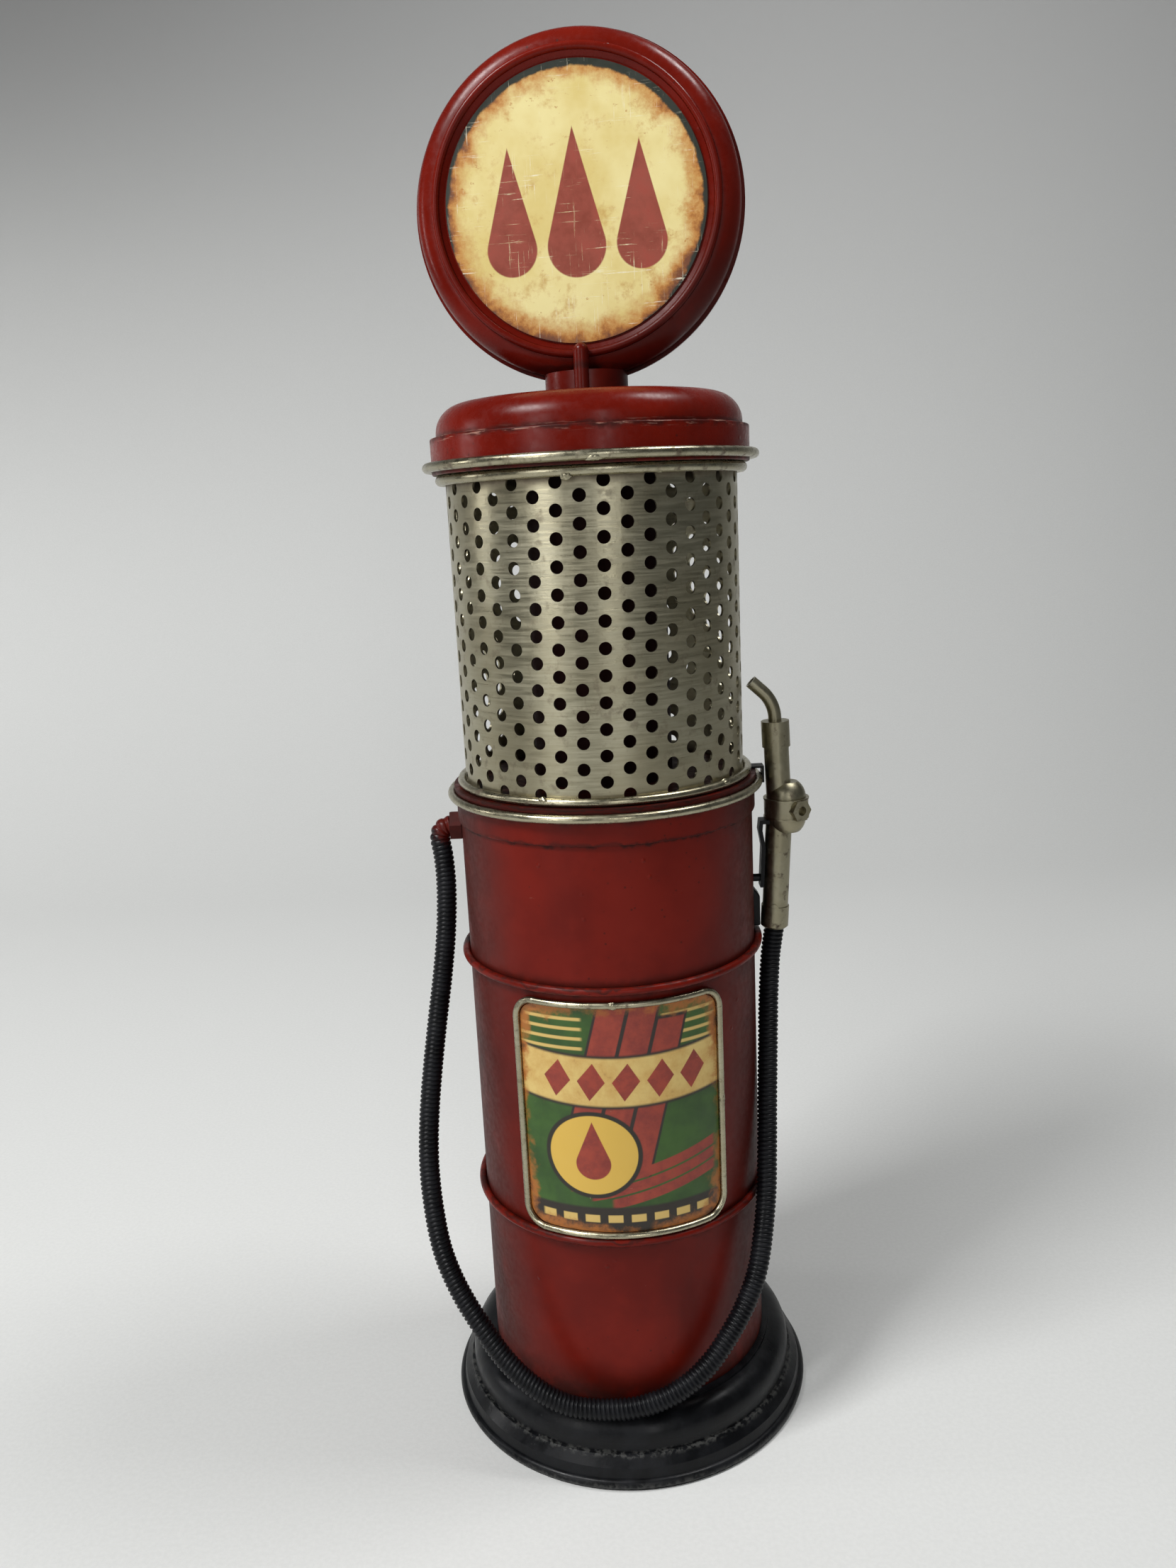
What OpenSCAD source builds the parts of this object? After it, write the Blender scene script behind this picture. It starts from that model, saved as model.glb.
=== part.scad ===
// Tin display model of a visible gas pump: flared base, drum, perforated cylinder, round sign,
// coil-spring hose and a nozzle that pulls sideways off its peg.
// Millimetres, +Z up, origin at the centre of the foot, front faces -Y, nozzle on +X.

/* [Base] */
// diameter over the rolled foot rim
foot_d = 120; // [110:1:140]
// radius of the rolled foot rim
rim_r = 1.6; // [1.2:0.1:2.4]
// sheet thickness of the pressed base
base_wall = 1; // [0.6:0.1:1.6]
// height of the flange ledge that carries the upper bowl
ledge_h = 9.2; // [7:0.1:14]
// how far the upper bowl stands out past the drum
bowl_step = 8.5; // [6:0.1:10]
// height of the upper bowl above the ledge
bowl_h = 10.4; // [9:0.1:18]
// radius of the bowl's shoulder
bowl_round = 7; // [3:0.5:8]
// height of the raised seat under the drum
seat_h = 0.8; // [0.4:0.1:2]

/* [Drum] */
// outer diameter of the drum
drum_d = 92; // [76:1:96]
// height of the drum
drum_h = 190.6; // [150:0.2:230]
// sheet thickness of the drum and of the other turned tin parts
tin = 0.8; // [0.5:0.1:1.2]
// wire radius of the two hoops round the drum
hoop_r = 1.2; // [0.8:0.1:2]
// distance of the upper hoop's centre below the drum's top
upper_hoop_drop = 53; // [48:0.5:70]
// distance of the lower hoop's centre above the drum's foot
lower_hoop_rise = 56.6; // [20:0.2:60]
// thickness of the strip at the top of the drum
collar_t = 0.9; // [0.5:0.1:1.5]
// depth of the strip below the top ring
collar_h = 9.6; // [6:0.2:16]
// wire radius of the ring at the top of the drum
drum_ring_r = 1.3; // [1:0.1:2]
// thickness of the plate that closes the drum
plate_t = 1.4; // [0.8:0.1:2]
// how far that plate stands out past the drum
plate_lip = 1.4; // [0.8:0.1:2]

/* [Perforated cylinder] */
// how far the perforated cylinder stands in from the drum
mesh_inset = 2.5; // [2:0.1:6]
// height of the perforated cylinder
mesh_h = 93.4; // [60:0.2:120]
// sheet thickness of the perforated cylinder
mesh_t = 0.7; // [0.5:0.1:1]
// diameter of one hole
hole_d = 3.7; // [3:0.1:4.5]
// spacing of the holes up a column
hole_pitch = 7.5; // [6.5:0.1:10]
// number of columns round the cylinder, an even number
hole_columns = 42; // [36:2:48]
// solid edge below the first hole's centre
hole_edge = 3; // [2.5:0.1:6]
// turn of the column nearest the front, degrees
hole_turn = 2.5; // [-4:0.1:4]
// lean of each column over the height, degrees
hole_skew = 3.8; // [0:0.1:6]
// wire radius of the ring at the foot of the cylinder
mesh_foot_ring_r = 1.3; // [0.8:0.1:2]
// wire radius of the ring at the head of the cylinder
mesh_head_ring_r = 1.5; // [0.8:0.1:2]
// outer diameter of the plain tube inside
inner_d = 43; // [30:1:56]

/* [Cap] */
// how far the cap band stands out past the perforated cylinder
band_step = 3.8; // [3:0.1:6]
// height of the cap band
band_h = 10.4; // [6:0.2:16]
// thickness of the floor plate inside the band
floor_t = 0.8; // [0.6:0.1:2]
// width of the ledge between band and lid
band_ledge = 1.9; // [1:0.1:4]
// radius of the lid's shoulder
lid_round = 8.4; // [5:0.2:9]
// height of the lid below its crown
lid_h = 9.5; // [9.2:0.1:16]
// rise of the lid's crown
lid_crown = 1.4; // [0.6:0.1:4]
// wire radius of the ring under the band
cap_ring_r = 1.4; // [1:0.1:2]

/* [Sign] */
// diameter over the rim where the two dishes meet
sign_d = 94.8; // [80:0.2:110]
// depth of one dish
dish_depth = 9; // [7:0.2:14]
// width of the flat rim outside the dish
dish_rim = 1; // [0.6:0.1:3]
// thickness of one dish's flat rim
dish_rim_t = 0.6; // [0.4:0.1:1]
// radius of the dish's shoulder
dish_round = 6.2; // [3:0.2:7]
// diameter of the wire ring round the printed face
bezel_d = 80; // [64:1:92]
// wire radius of that ring
bezel_r = 1.1; // [0.8:0.1:1.6]
// radius of the ring's stem
stem_r = 2.2; // [1.4:0.1:3]
// width left between the printed face and the wire ring's centre
face_margin = 3; // [2.4:0.1:8]
// thickness of the printed face
face_t = 0.5; // [0.3:0.1:1]
// gap round the wire ring and its stem where they are soldered in
solder_gap = 0.05; // [0.02:0.01:0.2]
// depth of the pan that the face lies in
face_pan = 1; // [0.4:0.1:2]
// height of the sign's centre above the lid's crown
sign_rise = 50.7; // [44:0.1:70]
// turn of the sign about the upright axis, degrees
sign_turn = -6.5; // [-20:0.5:20]
// outer diameter of the neck tube
neck_d = 24.4; // [16:0.2:32]
// height of the neck tube
neck_h = 6.2; // [4:0.2:12]

/* [Plaque] */
// half width of the plaque, degrees round the drum
plaque_half = 40.3; // [25:0.1:50]
// width of the plaque's middle from the front, degrees
plaque_turn = 1; // [-5:0.5:5]
// gap between the lower hoop and the plaque's frame
plaque_gap = 0.1; // [0.05:0.05:3]
// height of the frame between its centre lines
plaque_h = 74.4; // [40:0.2:76]
// thickness of the plaque
plaque_t = 0.5; // [0.3:0.1:1]
// wire radius of the plaque frame
frame_r = 1; // [0.6:0.1:1.6]
// corner radius of the frame
frame_round = 6.5; // [3:0.5:10]

/* [Hose] */
// outer diameter of the coil-spring hose
hose_d = 6.5; // [5:0.1:6.6]
// distance of the hose nut's centre below the drum's top
hose_nut_drop = 13.2; // [13:0.2:40]
// width across the flats of the hose nut
hose_nut_af = 8.6; // [7:0.1:10]
// thickness of the hose nut
hose_nut_t = 3.8; // [2.5:0.1:5]
// diameter of the threaded stud in the nut
stud_d = 4.8; // [3:0.1:5]
// clearance of the stud in its holes, radial
stud_gap = 0.1; // [0.05:0.05:0.3]

/* [Nozzle] */
// distance of the valve's middle below the drum's top
valve_drop = 12; // [8:0.2:30]
// distance of the valve's middle from the drum's side
valve_out = 11.2; // [10.5:0.1:14]
// radius of the valve band
valve_r = 7; // [5:0.1:8]
// height of the valve band
valve_band_h = 6.6; // [4:0.1:10]
// how far the band's lips stand out
valve_lip = 0.2; // [0.1:0.05:0.5]
// radius of the valve's two shells
valve_top_r = 6.2; // [5:0.1:7]
// height of the valve's upper shell
valve_top_h = 5; // [3:0.1:6]
// height of the valve's lower shell
valve_low_h = 4.4; // [3:0.1:6]
// distance of the barrel and grip from the drum's side
stem_out = 8.9; // [8.5:0.1:12]
// radius of the barrel
barrel_r = 3.9; // [2.5:0.1:5]
// length of the barrel above the valve band
barrel_l = 16.4; // [10:0.2:24]
// lean of the barrel toward the drum, degrees
barrel_lean = 2; // [0:0.5:4]
// radius of the grip at the valve
grip_top_r = 4.15; // [3:0.1:5]
// radius of the grip at its lower end
grip_low_r = 4.1; // [3:0.1:5]
// length of the grip below the valve band
grip_l = 29.2; // [20:0.5:45]
// lean of the grip toward the drum, degrees
grip_lean = 3.2; // [0:0.1:4]
// radius of the lower collar
low_collar_r = 4.45; // [3.5:0.1:5]
// length of the lower collar
low_collar_l = 7.5; // [5:0.1:12]
// radius of the spout collar
spout_collar_r = 4.4; // [3.5:0.1:5]
// length of the spout collar
spout_collar_l = 8.2; // [5:0.1:12]
// outer radius of the spout
spout_r = 2.05; // [1.2:0.1:3]
// wall of the spout
spout_wall = 0.6; // [0.4:0.1:1]
// bend radius of the spout
spout_bend = 12; // [6:0.5:16]
// bend of the spout, degrees
spout_angle = 45; // [20:1:60]
// straight length at the spout's tip
spout_tip = 4.8; // [2:0.2:10]
// width across the flats of the valve nut
valve_nut_af = 6.2; // [5:0.1:8]
// thickness of the valve nut
valve_nut_t = 2.2; // [1.5:0.1:4]
// turn of the valve nut from the front, degrees
valve_nut_turn = 29; // [0:1:45]
// width of the black straps
strap_w = 5; // [4:0.2:7]
// thickness of the guard strap
strap_t = 1.2; // [0.8:0.1:1.5]

/* [Hanger] */
// diameter of the peg
peg_d = 2.5; // [1.8:0.1:3]
// distance of the peg below the drum's top
peg_drop = 35.1; // [25:0.1:35.5]
// radial clearance of the peg in the guard strap's eye
peg_gap = 0.3; // [0.2:0.05:0.6]
// thickness of the hanger strip round the top ring
hanger_t = 0.6; // [0.4:0.1:1]
// clearance kept between the nozzle and what it hangs on
nozzle_gap = 0.4; // [0.3:0.1:1]
// height of the lower rest
rest_h = 12; // [8:0.5:16]

/* [Hidden] */
$fn = 96;
eps = 0.01;

foot_r = foot_d / 2;
drum_r = drum_d / 2;
bowl_r = drum_r + bowl_step;
bowl_top = ledge_h + bowl_h;
drum_z0 = bowl_top + seat_h;
drum_z1 = drum_z0 + drum_h;
plate_z1 = drum_z1 + plate_t;
upper_hoop_z = drum_z1 - upper_hoop_drop;
lower_hoop_z = drum_z0 + lower_hoop_rise;
collar_r = drum_r + collar_t;
drum_ring_z = drum_z1 - drum_ring_r;
mesh_r = drum_r - mesh_inset;
mesh_z0 = plate_z1;
mesh_z1 = mesh_z0 + mesh_h;
floor_z1 = mesh_z1 + floor_t;
band_r = mesh_r + band_step;
band_z0 = mesh_z1;
band_z1 = band_z0 + band_h;
cap_ring_z = floor_z1 + cap_ring_r;
lid_r = band_r - band_ledge;
lid_flat = band_z1 + lid_h;
crown_z = lid_flat + lid_crown;
crown_edge = lid_r - lid_round;
sign_r = sign_d / 2;
sign_z = crown_z + sign_rise;
stem_y = dish_depth + stem_r + 0.1;
dish_r = sign_r - dish_rim;
face_d = bezel_d - 2 * face_margin;
pan_r = bezel_d / 2 - bezel_r;
pan_floor_r = face_d / 2 + 0.4;
pan_z = dish_depth - face_pan;
frame_path_r = drum_r + frame_r;
frame_deg = frame_r / frame_path_r * 180 / PI;
plaque_z = lower_hoop_z + hoop_r + frame_r + plaque_gap;
corner_deg = frame_round / frame_path_r * 180 / PI;
nut_x = -drum_r;
hose_nut_z = drum_z1 - hose_nut_drop;
peg_z = drum_z1 - peg_drop;
valve_x = drum_r + valve_out;
valve_z = drum_z1 - valve_drop;
stem_x = drum_r + stem_out;
valve_z0 = valve_z - valve_band_h / 2;
valve_z1 = valve_z + valve_band_h / 2;
grip_z0 = valve_z0 - grip_l;
hose_r = hose_d / 2;
hole_rows = 1 + floor((mesh_h - hole_edge - (hole_pitch + hole_d) / 2) / hole_pitch);
first_hole_z = mesh_z0 + hole_edge;
ring_out = drum_r + collar_t + 2 * drum_ring_r;
hanger_x1 = ring_out + hanger_t;
rest_z0 = upper_hoop_z + hoop_r + 1.2;

// height of the lid's crown at a distance from the axis
function crown_at(r) = crown_z - lid_crown * r * r / (crown_edge * crown_edge);
// distance of the grip's centre line from the upright axis at a height
function grip_x(z) = stem_x - (valve_z0 - z) * tan(grip_lean);
// radius of the grip at a height
function grip_r(z) = grip_top_r - (grip_top_r - grip_low_r) * (valve_z0 - z) / grip_l;

// Route of the hose from the nut, round the front of the base, up to the nozzle.
hose_route = [
    [-49.8, 0, 197.8], [-51.3, 0, 197.5], [-52.5, 0, 196.6], [-53.3, 0, 195.3],
    [-53.5, 0, 193.6], [-52.9, -0.1, 188], [-52.5, -1.4, 179],
    [-53.2, -4.2, 165], [-55, -7.6, 150.5], [-57.3, -11.6, 136], [-59.4, -15.7, 121.5],
    [-61, -20, 107], [-61.5, -24.4, 93.5], [-60.4, -29, 80], [-57.8, -33.6, 67.5],
    [-53, -37.6, 56.5], [-46.5, -41.6, 46.5], [-39, -45.3, 36.5], [-30, -48.3, 28.6],
    [-20, -50.4, 23.6], [-8.5, -51.2, 22.2], [3, -50.8, 22.7], [14, -49, 26], [23.5, -46, 32.2],
    [31, -42, 40], [37, -38, 48.6], [41.2, -34, 57.5], [43.8, -29.3, 68], [45.6, -24.6, 79],
    [46.8, -19, 92], [47.8, -13.8, 106], [49, -8.4, 122], [50.2, -3.4, 138], [51.4, -0.7, 150],
    [52.8, 0, 159]
];

red = [0.45, 0.09, 0.07];
black = [0.06, 0.06, 0.07];
silver = [0.62, 0.6, 0.55];

// ---- shared shapes ----

module tube(r, t, h) {
    difference() {
        cylinder(r = r, h = h);
        translate([0, 0, -1]) cylinder(r = r - t, h = h + 2);
    }
}

// wire ring lying round the outside of a cylinder of radius r
module wire_ring(r, wire, z) {
    translate([0, 0, z]) rotate_extrude() translate([r + wire, 0]) circle(wire, $fn = 32);
}

// half outline of a dish: flat top at h, shoulder of the given round
module dish_half(r, h, round) {
    square([r, h - round]);
    square([r - round, h]);
    translate([r - round, h - round]) intersection() {
        circle(round);
        square(round);
    }
}

module hex_prism(af, h) {
    cylinder(r = af / sqrt(3), h = h, $fn = 6);
}

// ---- base ----

module base_flange() {
    color(black) rotate_extrude() {
        intersection() {
            translate([foot_r - rim_r, rim_r]) circle(rim_r, $fn = 48);
            translate([0, 0.15]) square([foot_r, 2 * rim_r]);
        }
        translate([foot_r - rim_r - 0.9, 0]) square([1.8, 0.5]);
        polygon([
            [foot_r - 2.9, 0.8], [foot_r - 1.4, 2.6], [foot_r - 2.2, ledge_h - 2.9],
            [bowl_r + 0.9, ledge_h], [bowl_r - 1.2, ledge_h],
            [bowl_r - 1.2, ledge_h - base_wall], [bowl_r + 0.4, ledge_h - base_wall - 0.1],
            [foot_r - 3.3, ledge_h - 3.6], [foot_r - 3.1, 0.8]
        ]);
    }
}

module base_bowl() {
    color(black) translate([0, 0, ledge_h]) rotate_extrude() {
        difference() {
            dish_half(bowl_r, bowl_h, bowl_round);
            translate([-1, -1]) dish_half(bowl_r - base_wall + 1, bowl_h - base_wall + 1,
                                          bowl_round - base_wall);
        }
        translate([0, bowl_h - eps]) square([drum_r + 2, seat_h + eps]);
    }
}

// ---- drum ----

module drum_shell() {
    color(red) difference() {
        translate([0, 0, drum_z0]) tube(drum_r, tin, drum_h);
        translate([nut_x - 2, 0, hose_nut_z]) rotate([0, 90, 0])
            cylinder(d = stud_d + 2 * stud_gap, h = 6);
    }
}

module drum_top_plate() {
    color(red) translate([0, 0, drum_z1]) cylinder(r = drum_r + plate_lip, h = plate_t);
}

module drum_collar() {
    color(red) translate([0, 0, drum_z1 - collar_h]) difference() {
        cylinder(r = collar_r, h = collar_h);
        translate([0, 0, -1]) cylinder(r = drum_r, h = collar_h + 2);
        translate([nut_x + 1, 0, hose_nut_z - drum_z1 + collar_h]) rotate([0, -90, 0])
            cylinder(r = hose_nut_af / sqrt(3) + stud_gap, h = hose_nut_t);
    }
}

module drum_top_ring() { color(silver) wire_ring(collar_r, drum_ring_r, drum_ring_z); }
module upper_hoop() { color(red) wire_ring(drum_r, hoop_r, upper_hoop_z); }
module lower_hoop() { color(red) wire_ring(drum_r, hoop_r, lower_hoop_z); }

// ---- perforated cylinder ----

module mesh_foot_ring() {
    color(silver) wire_ring(mesh_r, mesh_foot_ring_r, mesh_z0 + mesh_foot_ring_r);
}

module mesh_head_ring() {
    color(silver) wire_ring(mesh_r, mesh_head_ring_r, mesh_z1 - mesh_head_ring_r);
}

// staggered holes, the odd columns half a pitch higher
module perforated_cylinder() {
    color(silver) difference() {
        translate([0, 0, mesh_z0]) tube(mesh_r, mesh_t, mesh_h);
        for (column = [0 : hole_columns - 1], row = [0 : hole_rows - 1]) {
            z = first_hole_z + hole_pitch * (row + 0.5 * (column % 2));
            turn = 360 / hole_columns * (column - 1) + hole_turn
                + hole_skew * ((z - mesh_z0) / mesh_h - 0.5);
            translate([0, 0, z]) rotate([0, 0, turn]) translate([0, 1.5 - mesh_r, 0])
                rotate([90, 0, 0]) cylinder(d = hole_d, h = 3, $fn = 24);
        }
    }
}

module inner_tube() {
    color(red) translate([0, 0, mesh_z0]) tube(inner_d / 2, tin, mesh_h);
}

// ---- cap ----

module cap_floor() {
    color(silver) translate([0, 0, mesh_z1]) cylinder(r = band_r - tin, h = floor_t);
}

module cap_ring() { color(silver) wire_ring(band_r, cap_ring_r, cap_ring_z); }

module cap_band() {
    color(red) difference() {
        translate([0, 0, band_z0]) cylinder(r = band_r, h = band_h);
        translate([0, 0, band_z0 - 1]) cylinder(r = band_r - tin, h = band_h - tin + 1);
        translate([0, 0, band_z0 - 1]) cylinder(r = lid_r - 1.5, h = band_h + 2);
    }
}

module lid_half(r, h, round) {
    square([r, h - round]);
    polygon([
        [0, 0], [crown_edge, 0],
        for (i = [5 : -1 : 0]) [crown_edge * i / 5, h + lid_crown * (1 - (i / 5) * (i / 5))]
    ]);
    translate([crown_edge, h - round]) intersection() {
        circle(round);
        square(round);
    }
}

module cap_lid() {
    color(red) translate([0, 0, band_z1]) rotate_extrude() difference() {
        lid_half(lid_r, lid_h, lid_round);
        translate([-1, -1]) dish_half(lid_r - tin + 1, lid_h - tin + 1, lid_round - tin);
    }
}

// ---- sign ----

module in_sign() {
    translate([0, 0, sign_z]) rotate([0, 0, sign_turn]) rotate([90, 0, 0]) children();
}

module dish_outline() {
    square([sign_r, dish_rim_t]);
    dish_half(dish_r, dish_depth, dish_round);
}

module sign_dish() {
    rotate_extrude() difference() {
        dish_outline();
        translate([-1, -1]) dish_half(dish_r - tin + 1, pan_z - tin + 1, dish_round - tin);
        polygon([[-1, pan_z], [pan_floor_r, pan_z], [pan_r, dish_depth + eps],
                 [-1, dish_depth + eps]]);
    }
}

// the front dish has a groove that the wire ring is soldered into
module sign_front_dish() {
    color(red) in_sign() difference() {
        sign_dish();
        translate([0, 0, dish_depth]) rotate_extrude()
            translate([bezel_d / 2, 0]) circle(bezel_r + solder_gap, $fn = 32);
    }
}
module sign_rear_dish() { color(red) in_sign() mirror([0, 0, 1]) sign_dish(); }

// wire ring round the face, whose ends run down to the lid as one stem
module sign_bezel() {
    stem_top = bezel_d / 2 - 0.5;
    stem_l = sign_z - stem_top - crown_at(stem_y - stem_r);
    color(red) {
        in_sign() translate([0, 0, dish_depth]) rotate_extrude()
            translate([bezel_d / 2, 0]) circle(bezel_r, $fn = 32);
        in_sign() translate([0, -stem_top - stem_l, stem_y]) rotate([-90, 0, 0])
            rotate_extrude($fn = 48) {
                square([stem_r, stem_l]);
                translate([0, stem_l]) intersection() {
                    circle(stem_r, $fn = 48);
                    square(stem_r);
                }
            }
    }
}

module sign_face() {
    color([0.88, 0.8, 0.5]) in_sign() translate([0, 0, pan_z]) cylinder(d = face_d, h = face_t);
}

module sign_neck() {
    color(red) difference() {
        translate([0, 0, crown_at(neck_d / 2 - tin)]) tube(neck_d / 2, tin, neck_h);
        in_sign() rotate_extrude() dish_outline();
        in_sign() mirror([0, 0, 1]) rotate_extrude() dish_outline();
        rotate([0, 0, sign_turn]) translate([0, -stem_y, crown_z - 5])
            cylinder(r = stem_r + solder_gap, h = 5 + neck_h + 5);
    }
}

// ---- plaque ----

module plaque() {
    half_w = (drum_r + plaque_t) * sin(plaque_half - frame_deg);
    inset = frame_round - frame_r;
    height = plaque_h - 2 * frame_r;
    color([0.2, 0.4, 0.15]) rotate([0, 0, plaque_turn]) intersection() {
        translate([0, 0, plaque_z]) tube(drum_r + plaque_t, plaque_t, plaque_h);
        translate([0, 0, plaque_z + frame_r]) rotate([90, 0, 0]) linear_extrude(drum_d) {
            translate([-half_w, inset]) square([2 * half_w, height - 2 * inset]);
            translate([-half_w + inset, 0]) square([2 * (half_w - inset), height]);
            for (sx = [-1, 1], z = [inset, height - inset])
                translate([sx * (half_w - inset), z]) circle(inset);
        }
    }
}

// a point of the frame's centre line
module on_drum(turn, z) {
    rotate([0, 0, turn]) translate([0, -frame_path_r, z]) children();
}

module plaque_frame() {
    side = plaque_half - corner_deg;
    color(silver) rotate([0, 0, plaque_turn]) {
        for (z = [plaque_z, plaque_z + plaque_h])
            translate([0, 0, z]) rotate([0, 0, -90 - side]) rotate_extrude(angle = 2 * side)
                translate([frame_path_r, 0]) circle(frame_r, $fn = 24);
        for (s = [-1, 1]) {
            on_drum(s * plaque_half, plaque_z + frame_round)
                cylinder(r = frame_r, h = plaque_h - 2 * frame_round, $fn = 24);
            for (up = [0, 1]) frame_corner(s, up);
            for (z = [plaque_z, plaque_z + plaque_h])
                on_drum(s * side, z) sphere(frame_r + 0.05, $fn = 32);
            for (z = [plaque_z + frame_round, plaque_z + plaque_h - frame_round])
                on_drum(s * plaque_half, z) sphere(frame_r + 0.05, $fn = 32);
        }
    }
}

// quarter bend of the frame's wire, square to the drum at the middle of the corner
module frame_corner(s, up) {
    z = up == 1 ? plaque_z + plaque_h - frame_round : plaque_z + frame_round;
    flat_r = frame_path_r * cos(corner_deg / 2);
    rotate([0, 0, s * (plaque_half - corner_deg / 2)])
        translate([-s * flat_r * tan(corner_deg / 2), -flat_r, z]) rotate([90, 0, 0])
            rotate([0, 0, s > 0 ? (up == 1 ? 0 : -90) : (up == 1 ? 90 : 180)])
                rotate_extrude(angle = 90) translate([frame_round, 0]) circle(frame_r, $fn = 24);
}

// ---- hose ----

module hose_stud() {
    color(silver) translate([nut_x - hose_nut_t, 0, hose_nut_z]) rotate([0, 90, 0])
        cylinder(d = stud_d, h = hose_nut_t + 4);
}

module hose_nut() {
    color(red) translate([nut_x - hose_nut_t, 0, hose_nut_z]) rotate([0, 90, 0]) rotate([0, 0, 18])
        difference() {
            hex_prism(hose_nut_af, hose_nut_t);
            translate([0, 0, -1]) cylinder(d = stud_d + 2 * stud_gap, h = hose_nut_t + 2);
        }
}

hose_sides = 8;
hose_start = [-1, 0, 0];
hose_end = [sin(grip_lean), 0, cos(grip_lean)];
function unit(v) = v / norm(v);
function step(p, i) = unit(p[min(i + 1, len(p) - 1)] - p[max(i - 1, 0)]);
function next_side(a, t) = unit(a - (a * t) * t);
function sides(p) = [for (i = 0, a = next_side([0, 1, 0], step(p, 0)); i < len(p);
    i = i + 1, a = i < len(p) ? next_side(a, step(p, i)) : a) a];
function hose_dir(p, i) = i == 0 ? hose_start : i == len(p) - 1 ? hose_end : step(p, i);
function hose_ring(p, i, a) = let (t = hose_dir(p, i), u = next_side(a, t), v = cross(t, u))
    [for (k = [0 : hose_sides - 1])
        let (w = 360 * (k + 0.5) / hose_sides) p[i] + hose_r * (cos(w) * u + sin(w) * v)];

module hose() {
    frames = sides(hose_route);
    n = len(hose_route);
    points = [for (i = [0 : n - 1]) each hose_ring(hose_route, i, frames[i])];
    walls = [for (i = [0 : n - 2], k = [0 : hose_sides - 1])
        let (m = (k + 1) % hose_sides, a = i * hose_sides)
        [a + k, a + m, a + hose_sides + m, a + hose_sides + k]];
    first = [for (k = [0 : hose_sides - 1]) hose_sides - 1 - k];
    last = [for (k = [0 : hose_sides - 1]) (n - 1) * hose_sides + k];
    color(black) polyhedron(points, concat(walls, [first], [last]));
}

// ---- hanger on the drum ----

// black strip bent over the top ring and back under it
module hanger_strip() {
    z1 = plate_z1 + hanger_t;
    under_z = drum_ring_z - drum_ring_r - 0.05;
    color(black) difference() {
        translate([0, strap_w / 2, 0]) rotate([90, 0, 0]) linear_extrude(strap_w) polygon([
            [mesh_r + 2 * mesh_foot_ring_r, plate_z1], [ring_out, plate_z1], [ring_out, under_z],
            [drum_r, under_z], [drum_r, under_z - hanger_t], [hanger_x1, under_z - hanger_t],
            [hanger_x1, z1], [mesh_r + 2 * mesh_foot_ring_r, z1]
        ]);
        translate([0, 0, under_z - 1]) cylinder(r = collar_r, h = 2);
    }
}

module hanger_peg() {
    color(black) difference() {
        translate([drum_r - 1, 0, peg_z]) rotate([0, 90, 0])
            cylinder(d = peg_d, h = grip_x(peg_z) - grip_r(peg_z) - nozzle_gap - drum_r + 1);
        translate([0, 0, peg_z - 5]) cylinder(r = drum_r, h = 10);
    }
}

// black block on the drum behind the lower end of the grip
module lower_rest() {
    face_x = grip_x(rest_z0) - low_collar_r - nozzle_gap;
    color(black) difference() {
        translate([0, strap_w / 2, 0]) rotate([90, 0, 0]) linear_extrude(strap_w) polygon([
            [drum_r - 1, rest_z0], [face_x, rest_z0], [face_x, rest_z0 + rest_h - 2],
            [drum_r + 0.6, rest_z0 + rest_h], [drum_r - 1, rest_z0 + rest_h]
        ]);
        translate([0, 0, rest_z0 - 1]) cylinder(r = drum_r, h = rest_h + 2);
    }
}

// ---- nozzle ----

// leans the grip and what is on it about the foot of the valve band
module on_grip() {
    translate([stem_x, 0, valve_z0]) rotate([0, grip_lean, 0]) children();
}

module on_barrel() {
    translate([stem_x, 0, valve_z1]) rotate([0, -barrel_lean, 0]) children();
}

module nozzle_low_collar() {
    chamfer = 0.8;
    color(silver) on_grip() translate([0, 0, -grip_l - low_collar_l]) {
        cylinder(r1 = low_collar_r - chamfer, r2 = low_collar_r, h = chamfer);
        translate([0, 0, chamfer]) cylinder(r = low_collar_r, h = low_collar_l - chamfer);
    }
}

module nozzle_grip() {
    color(silver) difference() {
        on_grip() translate([0, 0, -grip_l]) cylinder(r1 = grip_low_r, r2 = grip_top_r, h = grip_l + 1);
        translate([stem_x, 0, valve_z0]) cylinder(r = 2 * grip_top_r, h = 5);
    }
}

module valve_low_shell() {
    color(silver) difference() {
        translate([valve_x, 0, valve_z0]) rotate_extrude() intersection() {
            circle(valve_top_r);
            translate([0, -valve_low_h]) square([valve_r, valve_low_h]);
        }
        on_grip() translate([0, 0, -grip_l]) cylinder(r1 = grip_low_r, r2 = grip_top_r, h = grip_l + 1);
    }
}

module valve_band() {
    lip_h = 0.6;
    color(silver) translate([valve_x, 0, valve_z0]) difference() {
        union() {
            cylinder(r = valve_r, h = valve_band_h);
            for (z = [0, valve_band_h - lip_h])
                translate([0, 0, z]) cylinder(r = valve_r + valve_lip, h = lip_h);
        }
        rotate([0, 0, valve_nut_turn]) translate([0, -valve_r + 1, valve_band_h / 2]) rotate([90, 0, 0])
            hex_prism(valve_nut_af, valve_nut_t + 2);
    }
}

module valve_top_shell() {
    color(silver) difference() {
        translate([valve_x, 0, valve_z1]) rotate_extrude() intersection() {
            circle(valve_top_r);
            square([valve_top_r, valve_top_h]);
        }
        on_barrel() translate([0, 0, -1]) cylinder(r = barrel_r, h = barrel_l + 1);
    }
}

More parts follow.
